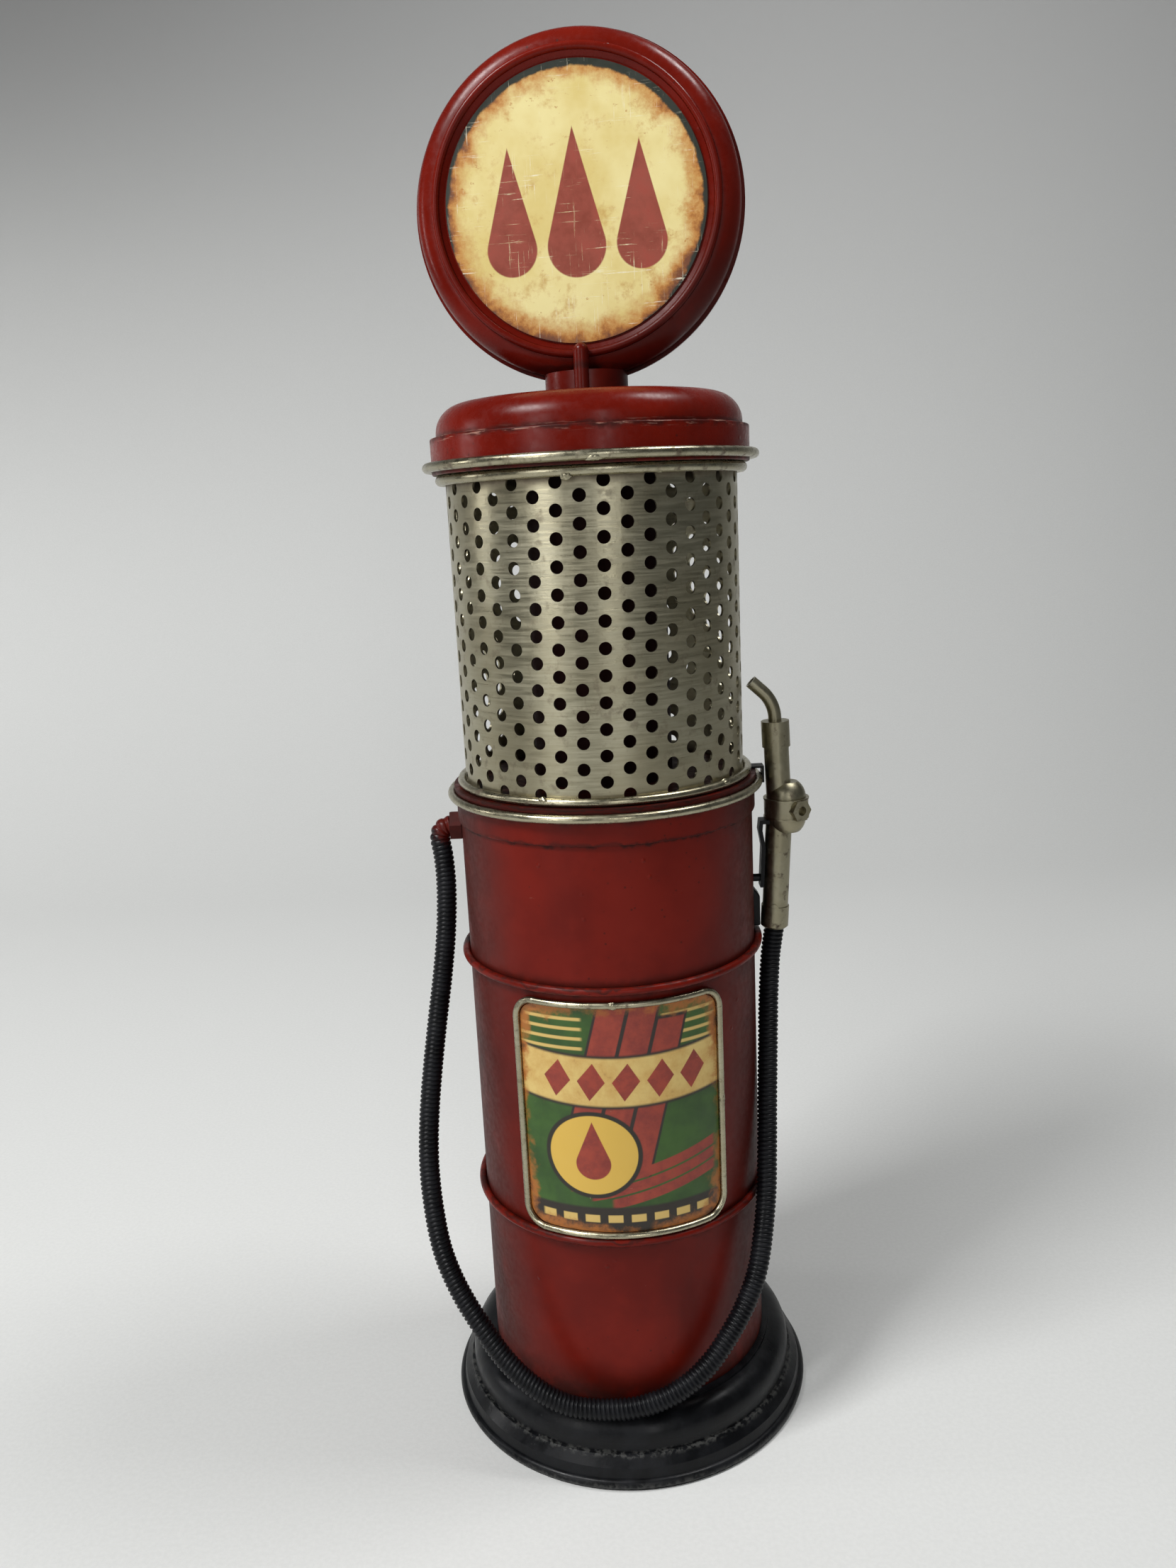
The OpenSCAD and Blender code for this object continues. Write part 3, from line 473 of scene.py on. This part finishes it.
def sign_print():
    """Worn yellow paper with three fuel drops. u and v run from -1 to 1 across and up the face."""
    m = Mat("sign_print", Specular_IOR_Level=0.5)
    lo, hi = box("sign_face")
    radius = (hi[2] - lo[2]) / 2
    vec = m.place(loc=(0, 0, -sign_z / radius), rot=(0, 0, -SIGN_TURN), scale=(1 / radius,) * 3)
    sep = m.node("ShaderNodeSeparateXYZ", Vector=vec)
    u, v = sep.outputs[0], sep.outputs[2]
    r = m.op("SQRT", m.add(m.mul(u, u), m.mul(v, v)))
    fine = m.noise(900.0, 5.0, 0.6)
    mid = m.noise(150.0, 6.0, 0.68)
    broad = m.noise(45.0, 4.0, 0.6)
    paper = m.mix(m.range(broad, 0.35, 0.7), (0.70, 0.55, 0.19), (0.82, 0.71, 0.33))
    paper = m.mix(m.range(mid, 0.52, 0.74, 0.0, 0.75), paper, (0.52, 0.29, 0.06))
    fleck = m.noise(1.0, 6.0, 0.75, m.place((330, 330, 500), rot=(0.2, 0.5, 0.1)))
    fleck = m.mul(m.range(fleck, 0.62, 0.68), m.range(r, 0.25, 0.95, 0.15, 0.9))
    paper = m.mix(fleck, paper, (0.42, 0.15, 0.02))
    # rust creeping in from the rim
    edge = m.add(r, m.mul(m.sub(mid, 0.5), 0.42))
    paper = m.mix(m.range(edge, 0.78, 0.98), paper, (0.5, 0.19, 0.025))
    paper = m.mix(m.range(edge, 0.92, 1.03), paper, (0.16, 0.045, 0.012))
    # a near-black line round the rim of the face, wider at the top
    rim = m.add(r, m.add(m.mul(u, 0.008), m.mul(v, 0.032)))
    rim = m.add(rim, m.mul(m.sub(mid, 0.5), 0.07))
    paper = m.mix(m.range(rim, 0.965, 0.985), paper, (0.014, 0.018, 0.01))
    # three fuel drops
    ink = None
    for cx, size in DROPS:
        a, h = DROP_R * size, DROP_H * size
        x = m.op("ABSOLUTE", m.sub(u, cx))
        y = m.add(v, 0.3)
        ball = m.range(m.op("SQRT", m.add(m.mul(x, x), m.mul(y, y))), a + 0.006, a - 0.006)
        k = a / math.sqrt(h * h - a * a)
        cone = m.range(m.sub(m.mul(m.sub(h, y), k), x), -0.004, 0.004)
        cone = m.mul(cone, m.range(y, a * a / h - 0.004, a * a / h + 0.004))
        drop = m.top(ball, cone)
        ink = drop if ink is None else m.top(ink, drop)
    worn = m.range(m.noise(1.0, 6.0, 0.72, m.place((60, 60, 1500))), 0.6, 0.66)
    worn2 = m.range(m.noise(1.0, 6.0, 0.72, m.place((1500, 1500, 55))), 0.6, 0.66)
    scratch = m.mul(m.top(worn, worn2), m.range(m.noise(70.0, 3.0), 0.42, 0.6))
    ink = m.mul(ink, m.inv(m.mul(scratch, 0.9)))
    drop_red = m.mix(m.range(mid, 0.3, 0.7), (0.21, 0.014, 0.012), (0.3, 0.026, 0.018))
    color = m.mix(m.mul(ink, 0.95), paper, drop_red)
    color = m.mix(m.mul(scratch, m.range(fine, 0.35, 0.55, 0.2, 0.75)), color, (0.9, 0.85, 0.66))
    n = m.bump(scratch, 0.00006, -0.6)
    n = m.bump(fine, 0.00004, 0.5, n)
    return m.finish(color, m.range(mid, 0.3, 0.7, 0.34, 0.5), n)


assign(["sign_face"], sign_print())


# ---- printed plaque ----

# half width and middle of the print round the drum
PLAQUE_WIDE = math.radians(39.1)
PLAQUE_TURN = math.radians(1.0)


def plaque_print():
    """Stripes, slanting bars, a band with diamonds and a roundel. u and v run from -1 to 1 across and up."""
    m = Mat("plaque_print", Specular_IOR_Level=0.5)
    low, top = heights("plaque")
    u = m.op("DIVIDE", m.sub(m.op("ARCTAN2", m.x, m.mul(m.y, -1.0)), PLAQUE_TURN), PLAQUE_WIDE)
    v = m.op("DIVIDE", m.sub(m.z, (low + top) / 2), (top - low) / 2)
    fine = m.noise(900.0, 5.0, 0.6)
    mid = m.noise(190.0, 6.0, 0.68)
    broad = m.noise(60.0, 4.0, 0.6)
    c = m.mix(m.range(broad, 0.35, 0.65), (0.018, 0.058, 0.006), (0.036, 0.098, 0.01))
    cream = (0.62, 0.43, 0.13)
    red = m.mix(m.range(mid, 0.3, 0.7), (0.2, 0.022, 0.014), (0.33, 0.045, 0.022))

    def line(value, half_w, soft=0.012):
        return m.range(m.op("ABSOLUTE", value), half_w + soft, half_w)

    def between(value, a, b, soft=0.014):
        return m.mul(m.range(value, a - soft, a + soft), m.range(value, b + soft, b - soft))

    # pinstripes across the top, four a side
    stripes = None
    for k in range(4):
        one = line(m.sub(v, 0.9 - 0.085 * k), 0.008)
        stripes = one if stripes is None else m.top(stripes, one)
    c = m.mix(m.mul(stripes, m.range(m.op("ABSOLUTE", m.sub(u, 0.02)), 0.36, 0.4)), c, cream)
    # three slanting bars behind the band
    slant = m.sub(u, m.mul(v, 0.3))
    for k, end in enumerate((0.98, 0.98, 0.86)):
        cx = -0.36 + 0.3 * k
        bar = m.mul(line(m.sub(slant, cx), 0.125), m.range(v, end + 0.02, end))
        bar = m.mul(bar, m.range(v, -0.52, -0.5))
        edge = m.mul(line(m.sub(slant, cx), 0.15), m.range(v, end + 0.05, end + 0.03))
        edge = m.mul(edge, m.range(v, -0.52, -0.5))
        c = m.mix(edge, c, (0.02, 0.012, 0.008))
        c = m.mix(bar, c, red)
    # low chevrons to the right
    sweep = m.add(v, m.mul(u, -0.2))
    for k in range(3):
        one = m.mul(line(m.add(sweep, 0.5 + 0.11 * k), 0.04), m.range(u, -0.55 + 0.2 * k, -0.5 + 0.2 * k))
        c = m.mix(m.mul(one, m.range(u, 0.95, 0.9)), c, red)
    # dark foot with a row of dashes
    foot = m.range(v, -0.76, -0.79)
    c = m.mix(foot, c, (0.018, 0.012, 0.007))
    dash = m.mul(line(m.add(v, 0.88), 0.028), between(m.op("FRACT", m.mul(u, 4.5)), 0.18, 0.82, 0.02))
    c = m.mix(m.mul(dash, m.range(m.op("ABSOLUTE", u), 0.86, 0.82)), c, cream)
    # curved cream band
    arch = m.sub(v, m.mul(m.mul(u, u), 0.06))
    band = between(arch, 0.14, 0.56)
    c = m.mix(between(arch, 0.115, 0.585), c, (0.02, 0.012, 0.008))
    c = m.mix(band, c, m.mix(m.range(mid, 0.3, 0.75), (0.66, 0.48, 0.16), (0.55, 0.33, 0.09)))
    # plain diamonds on the band
    for cx in (-0.66, -0.33, 0.0, 0.33, 0.66):
        side = m.op("ABSOLUTE", m.sub(m.sub(u, m.mul(arch, 0.12)), cx))
        d = m.add(m.mul(side, 1.25), m.op("ABSOLUTE", m.sub(arch, 0.35)))
        c = m.mix(m.range(d, 0.172, 0.16), c, red)
    # roundel with a drop
    du = m.mul(m.add(u, 0.3), 0.83)
    dv = m.add(v, 0.3)
    rr = m.op("SQRT", m.add(m.mul(du, du), m.mul(dv, dv)))
    c = m.mix(m.range(rr, 0.4, 0.385), c, (0.016, 0.012, 0.006))
    c = m.mix(m.range(rr, 0.36, 0.35), c, (0.66, 0.42, 0.07))
    dx = m.op("ABSOLUTE", du)
    dy = m.add(dv, 0.08)
    ball = m.range(m.op("SQRT", m.add(m.mul(dx, dx), m.mul(dy, dy))), 0.145, 0.135)
    k = 0.14 / math.sqrt(0.38 ** 2 - 0.14 ** 2)
    cone = m.mul(m.range(m.sub(m.mul(m.sub(0.38, dy), k), dx), -0.004, 0.004), m.range(dy, 0.046, 0.056))
    c = m.mix(m.top(ball, cone), c, red)
    # rust, soot and scratches
    corner = m.add(m.top(m.op("ABSOLUTE", u), m.op("ABSOLUTE", v)), m.mul(m.sub(mid, 0.5), 0.42))
    corner = m.add(corner, m.mul(m.mul(m.op("ABSOLUTE", u), m.op("ABSOLUTE", v)), 0.13))
    c = m.mix(m.range(corner, 0.95, 1.09), c, (0.4, 0.13, 0.02))
    c = m.mix(m.range(corner, 1.05, 1.18), c, (0.05, 0.022, 0.01))
    c = m.mix(m.range(mid, 0.62, 0.78, 0.0, 0.45), c, (0.12, 0.05, 0.015))
    across = m.noise(1.0, 5.0, 0.7, m.place((260, 260, 1100), rot=(0.0, 0.3, 0.0)))
    upright = m.noise(1.0, 5.0, 0.7, m.place((1200, 1200, 200)))
    scratch = m.top(m.range(across, 0.69, 0.74, 0.0, 0.6), m.range(upright, 0.7, 0.75, 0.0, 0.5))
    c = m.mix(scratch, c, (0.5, 0.42, 0.26))
    n = m.bump(scratch, 0.00005, -0.6)
    n = m.bump(fine, 0.00004, 0.5, n)
    return m.finish(c, m.range(mid, 0.3, 0.7, 0.33, 0.5), n)


assign(["plaque"], plaque_print())


# ---- soft edges on the turned and bent parts ----

EDGE_ANGLE = math.radians(32.0)


def round_edges(name, width):
    obj = nodes[name]
    weld = obj.modifiers.new("weld", "WELD")
    weld.merge_threshold = 1e-6
    bevel = obj.modifiers.new("bevel", "BEVEL")
    bevel.width = width
    bevel.segments = 2
    bevel.limit_method = "ANGLE"
    bevel.angle_limit = EDGE_ANGLE
    bevel.use_clamp_overlap = True
    normal = obj.modifiers.new("normal", "WEIGHTED_NORMAL")
    normal.keep_sharp = False


for name, width in (("cap_band", 0.0004), ("drum_top_plate", 0.0004), ("drum_collar", 0.00025),
                    ("spout_collar", 0.0004), ("nozzle_low_collar", 0.0003), ("valve_band", 0.0004),
                    ("lower_rest", 0.0004)):
    round_edges(name, width)


# ---- solder, and the lapped edge of the nozzle's low collar ----

def around(radius, degrees, z):
    a = math.radians(degrees)
    return Vector((radius * math.sin(a), -radius * math.cos(a), z)), Vector((math.sin(a), -math.cos(a), 0.0))


def solder(name, radius, degrees, z, size, seed):
    """A lump of solder: size is (along the ring, up, outward), in metres."""
    place, out = around(radius, degrees, z)
    along = Vector((0, 0, 1)).cross(out)
    verts, rows, cols = [], 12, 18
    for i in range(rows + 1):
        p = math.pi * i / rows
        for j in range(cols):
            t = 2 * math.pi * j / cols
            d = Vector((math.sin(p) * math.cos(t), math.cos(p), math.sin(p) * math.sin(t)))
            swell = noise.noise(d * 1.3 + Vector((seed * 7.3, 0.0, 0.0)))
            pits = noise.noise(d * 4.0 + Vector((0.0, seed * 5.1, 0.0)))
            r = 0.5 * (1.0 + 0.5 * swell + 0.2 * pits)
            spread = d.x * size[0] * along + d.y * size[1] * Vector((0, 0, 1)) + d.z * size[2] * out
            verts.append(place + r * spread)
    faces = [(i * cols + j, (i + 1) * cols + j, (i + 1) * cols + (j + 1) % cols, i * cols + (j + 1) % cols)
             for i in range(rows) for j in range(cols)]
    return add_mesh(name, verts, faces)


foot_r, head_r, cap_r = (box(name)[1][0] for name in ("mesh_foot_ring", "mesh_head_ring", "cap_ring"))
foot_mid, head_mid, cap_mid = (mid_height(name) for name in ("mesh_foot_ring", "mesh_head_ring", "cap_ring"))
_, frame_top = heights("plaque_frame")
FRAME_SOLDER_R = 0.0474
lumps = [
    solder("solder_cap", cap_r - 0.0008, 0.8, cap_mid - 0.0006, (0.0052, 0.0022, 0.0016), 1),
    solder("solder_head_left", head_r - 0.0008, -8.5, head_mid - 0.0012, (0.0034, 0.0024, 0.0016), 2),
    solder("solder_head_mid", head_r - 0.001, 22.0, head_mid - 0.0003, (0.006, 0.0021, 0.0013), 3),
    solder("solder_head_right", head_r - 0.001, 27.5, head_mid + 0.0002, (0.0045, 0.0022, 0.0014), 4),
    solder("solder_foot_left", foot_r - 0.0008, -23.4, foot_mid + 0.0004, (0.0036, 0.0022, 0.0016), 5),
    solder("solder_foot_right", foot_r - 0.0008, 51.4, foot_mid + 0.0003, (0.005, 0.0024, 0.0016), 6),
    solder("solder_frame_top", FRAME_SOLDER_R, -1.2, frame_top - 0.0010, (0.0034, 0.002, 0.0013), 7),
    solder("solder_frame_side", FRAME_SOLDER_R, 41.3, 0.117, (0.0021, 0.0042, 0.0013), 8),
]
for lump in lumps:
    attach(lump, "pump")
assign(lumps, ring_tin)


def collar_tab():
    """The lapped end of the sheet round the low collar, standing up on the grip."""
    lo, hi = box("nozzle_low_collar")
    cx, top = (lo[0] + hi[0]) / 2 + 0.0003, hi[2]
    verts = []
    for r in (0.00412, 0.00445):
        for d in np.linspace(-32, 4, 9):
            a = math.radians(d)
            rise = 0.0011 * (1 - abs((d + 14) / 18) ** 3)
            for z in (top - 0.0009, top - 0.0001 + rise):
                verts.append((cx + r * math.sin(a), -r * math.cos(a), z))
    faces = []
    for k in range(8):
        i, o = 2 * k, 18 + 2 * k
        faces += [(o, o + 2, o + 3, o + 1), (i, i + 1, i + 3, i + 2),
                  (i + 1, o + 1, o + 3, i + 3), (i, i + 2, o + 2, o)]
    faces += [(0, 18, 19, 1), (16, 17, 35, 34)]
    return add_mesh("collar_tab", verts, faces, False)


tab = collar_tab()
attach(tab, "nozzle")
assign([tab], nozzle_tin)


# ---- floor and light ----

def sweep_floor():
    """Pale table that rises into the wall behind in one sweep."""
    start, bend = 0.55, 0.6
    prof = [(-2.5, 0.0), (start, 0.0)]
    prof += [(start + bend * math.sin(a), bend - bend * math.cos(a)) for a in np.linspace(0, math.pi / 2, 24)[1:]]
    prof += [(1.15, 3.5)]
    verts = [(x, y, z) for y, z in prof for x in (-4.0, 4.0)]
    faces = [(2 * i, 2 * i + 1, 2 * i + 3, 2 * i + 2) for i in range(len(prof) - 1)]
    return add_mesh("table", verts, faces)


def table_paint():
    """Off-white, with painted shade: darker up the wall and to the left."""
    m = Mat("table_paint", Specular_IOR_Level=0.4)
    tone = m.noise(700.0, 4.0)
    near = m.mix(m.range(tone, 0.3, 0.7), (0.68, 0.685, 0.67), (0.71, 0.715, 0.7))
    far = m.mix(m.range(m.x, -0.7, 0.7), (0.2, 0.2, 0.198), (0.52, 0.52, 0.515))
    return m.finish(m.mix(m.range(m.z, 0.1, 1.0), near, far), 0.55, m.bump(tone, 0.0002, 0.3))


table = sweep_floor()
table.data.materials.append(table_paint())


def area_light(name, loc, aim, size, power):
    data = bpy.data.lights.new(name, "AREA")
    data.shape = "RECTANGLE"
    data.size, data.size_y = size
    data.energy = power
    obj = bpy.data.objects.new(name, data)
    obj.location = loc
    obj.visible_camera = False
    obj.rotation_euler = (Vector(aim) - Vector(loc)).to_track_quat("-Z", "Y").to_euler()
    scene.collection.objects.link(obj)


area_light("ceiling_left", (-0.6, -0.42, 1.15), (0.0, 0.0, 0.2), (0.34, 0.3), 12.0)
area_light("ceiling_right", (0.5, 0.05, 1.25), (0.0, 0.0, 0.25), (0.3, 0.3), 5.6)
area_light("front_left", (-0.85, -1.15, 0.6), (0.0, 0.0, 0.25), (0.34, 0.9), 4.5)
area_light("front_right", (0.24, -1.35, 0.6), (0.0, 0.0, 0.25), (0.13, 0.9), 2.4)
area_light("wall_left", (-1.3, 0.1, 0.5), (-0.9, 1.15, 0.35), (0.5, 0.5), 6.0)

world = bpy.data.worlds.new("world")
scene.world = world
world.use_nodes = True
background = world.node_tree.nodes["Background"]
background.inputs["Color"].default_value = (0.86, 0.9, 0.93, 1)
background.inputs["Strength"].default_value = 0.1
scene.view_settings.view_transform = "Standard"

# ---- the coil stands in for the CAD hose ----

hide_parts("hose")
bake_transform(hose)
